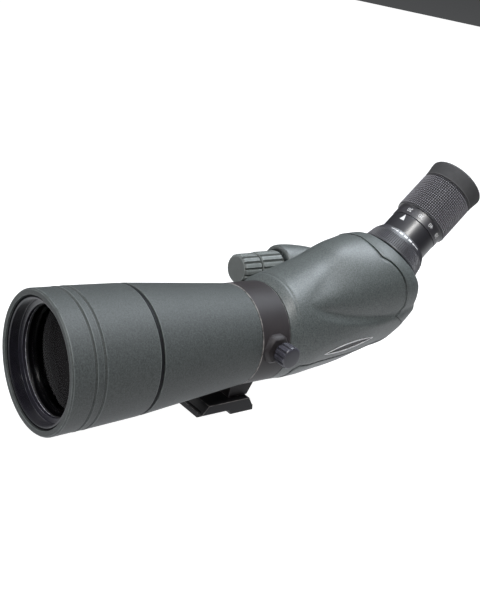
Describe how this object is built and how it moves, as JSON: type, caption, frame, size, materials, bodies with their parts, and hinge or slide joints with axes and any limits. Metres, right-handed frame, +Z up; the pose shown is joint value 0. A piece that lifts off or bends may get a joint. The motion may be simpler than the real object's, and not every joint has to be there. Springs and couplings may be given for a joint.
{
  "type": "angled spotting scope",
  "caption": "Angled spotting scope with a sliding sunshade, rotating tripod collar, dual focus knobs and a zoom eyepiece at 45 degrees.",
  "frame": {"origin": "on the flat underside of the tripod foot, midway between its two screws, under the barrel's axis", "axes": "+Y back along the barrel towards the observer, +Z up, +X to the side that carries the collar's clamp knob"},
  "size_m": [0.1015, 0.3585, 0.1718],
  "materials": {
    "green_coat_metal": "matt, fine speckled grey-green coat",
    "green_coat_body": "matt, fine speckled grey-green coat",
    "green_rubber": "matt grey-green rubber with worn ridge tips",
    "black_satin": "satin black coat",
    "black_anodised": "satin black anodised",
    "matt_black": "anti-glare matt black",
    "black_knob": "satin moulded black",
    "black_rubber": "matt black rubber",
    "badge": "satin charcoal face with a pale edge",
    "steel": "fine turned",
    "brass": "fine turned",
    "glass": "clear coated glass"
  },
  "bodies": {
    "collar_foot": {"collar": "black_satin", "tripod_foot": "black_satin", "thread_bush": "brass", "foot_screw_right": "steel", "foot_screw_left": "steel"},
    "clamp_pad_body": {"clamp_pad": "brass"},
    "clamp_knob_body": {"clamp_knob": "black_knob", "clamp_screw": "steel"},
    "scope": {"main_barrel": "green_coat_metal", "objective_cell": "matt_black", "objective_retaining_ring": "black_anodised", "objective_front_lens": "glass", "objective_lens_spacer": "matt_black", "objective_rear_lens": "glass", "objective_o_ring": "black_rubber", "baffle_front": "matt_black", "baffle_middle": "matt_black", "baffle_rear": "matt_black", "housing_shell": "green_coat_body", "rear_frame": "green_coat_body", "badge_plate": "badge", "focus_fairing": "green_coat_body", "prism": "glass", "prism_cage": "matt_black", "prism_strap": "steel", "eyepiece_socket": "black_anodised", "rod_bulkhead": "matt_black", "guide_rod_near": "steel", "guide_rod_far": "steel", "focus_bush": "brass"},
    "sunshade_body": {"sunshade": "green_coat_metal", "sunshade_liner": "matt_black"},
    "coarse_focus": {"coarse_focus_knob": "green_rubber", "lead_screw": "steel"},
    "fine_focus": {"fine_focus_knob": "green_rubber"},
    "carriage": {"focus_carriage": "black_anodised", "focus_lens": "glass"},
    "eyepiece": {"eyepiece_barrel": "black_anodised", "field_lens": "glass", "eye_lens_housing": "black_anodised", "eye_lens": "glass"},
    "lock_ring_body": {"lock_ring": "black_anodised"},
    "zoom_ring_body": {"zoom_ring": "black_anodised", "zoom_grip": "black_rubber"},
    "zoom_front": {"zoom_cell_front": "black_anodised", "zoom_lens_front": "glass"},
    "zoom_rear": {"zoom_cell_rear": "black_anodised", "zoom_lens_rear": "glass"},
    "eyecup_slider": {"eyecup_carrier": "black_anodised"},
    "eyecup_body": {"eyecup": "black_rubber"}
  },
  "joints": [
    {"name": "collar_turn", "type": "hinge", "parent": "collar_foot", "child": "scope", "pos_m": [0, 0.0023, 0.0527], "axis": [0, 1, 0], "continuous": true},
    {"name": "clamp_travel", "type": "slide", "parent": "collar_foot", "child": "clamp_pad_body", "axis": [1, 0, 0], "range_m": [0, 0.002]},
    {"name": "clamp_turn", "type": "hinge", "parent": "clamp_pad_body", "child": "clamp_knob_body", "pos_m": [0.043, 0.0023, 0.0564], "axis": [1, 0, 0], "range_deg": [0, 720]},
    {"name": "sunshade_slide", "type": "slide", "parent": "scope", "child": "sunshade_body", "axis": [0, -1, 0], "range_m": [0, 0.028]},
    {"name": "coarse_focus_turn", "type": "hinge", "parent": "scope", "child": "coarse_focus", "pos_m": [-0.0375, 0.0462, 0.0821], "axis": [0, 1, 0], "range_deg": [0, 1080]},
    {"name": "fine_focus_turn", "type": "hinge", "parent": "coarse_focus", "child": "fine_focus", "pos_m": [-0.0375, 0.0272, 0.0821], "axis": [0, 1, 0], "continuous": true},
    {"name": "carriage_slide", "type": "slide", "parent": "scope", "child": "carriage", "axis": [0, 1, 0], "range_m": [0, 0.006]},
    {"name": "eyepiece_pull", "type": "slide", "parent": "scope", "child": "eyepiece", "axis": [0, 0.7071, 0.7071], "range_m": [0, 0.03]},
    {"name": "lock_ring_turn", "type": "hinge", "parent": "eyepiece", "child": "lock_ring_body", "pos_m": [0, 0.1389, 0.1022], "axis": [0, 0.7071, 0.7071], "range_deg": [0, 60]},
    {"name": "zoom_turn", "type": "hinge", "parent": "eyepiece", "child": "zoom_ring_body", "pos_m": [0, 0.1712, 0.1345], "axis": [0, 0.7071, 0.7071], "range_deg": [0, 120]},
    {"name": "zoom_front_slide", "type": "slide", "parent": "eyepiece", "child": "zoom_front", "axis": [0, 0.7071, 0.7071], "range_m": [0, 0.008]},
    {"name": "zoom_rear_slide", "type": "slide", "parent": "eyepiece", "child": "zoom_rear", "axis": [0, 0.7071, 0.7071], "range_m": [-0.006, 0]},
    {"name": "eyecup_rise", "type": "slide", "parent": "eyepiece", "child": "eyecup_slider", "axis": [0, 0.7071, 0.7071], "range_m": [0, 0.008]},
    {"name": "eyecup_twist", "type": "hinge", "parent": "eyecup_slider", "child": "eyecup_body", "pos_m": [0, 0.1889, 0.1522], "axis": [0, 0.7071, 0.7071], "range_deg": [0, 120]}
  ],
  "couplings": [
    {"joint": "clamp_turn", "follows": "clamp_travel", "rad_per_m": 6283},
    {"joint": "carriage_slide", "follows": "coarse_focus_turn", "m_per_rad": 0.000318},
    {"joint": "zoom_front_slide", "follows": "zoom_turn", "m_per_rad": 0.00381},
    {"joint": "zoom_rear_slide", "follows": "zoom_turn", "m_per_rad": -0.00286},
    {"joint": "eyecup_rise", "follows": "eyecup_twist", "m_per_rad": 0.00381}
  ]
}
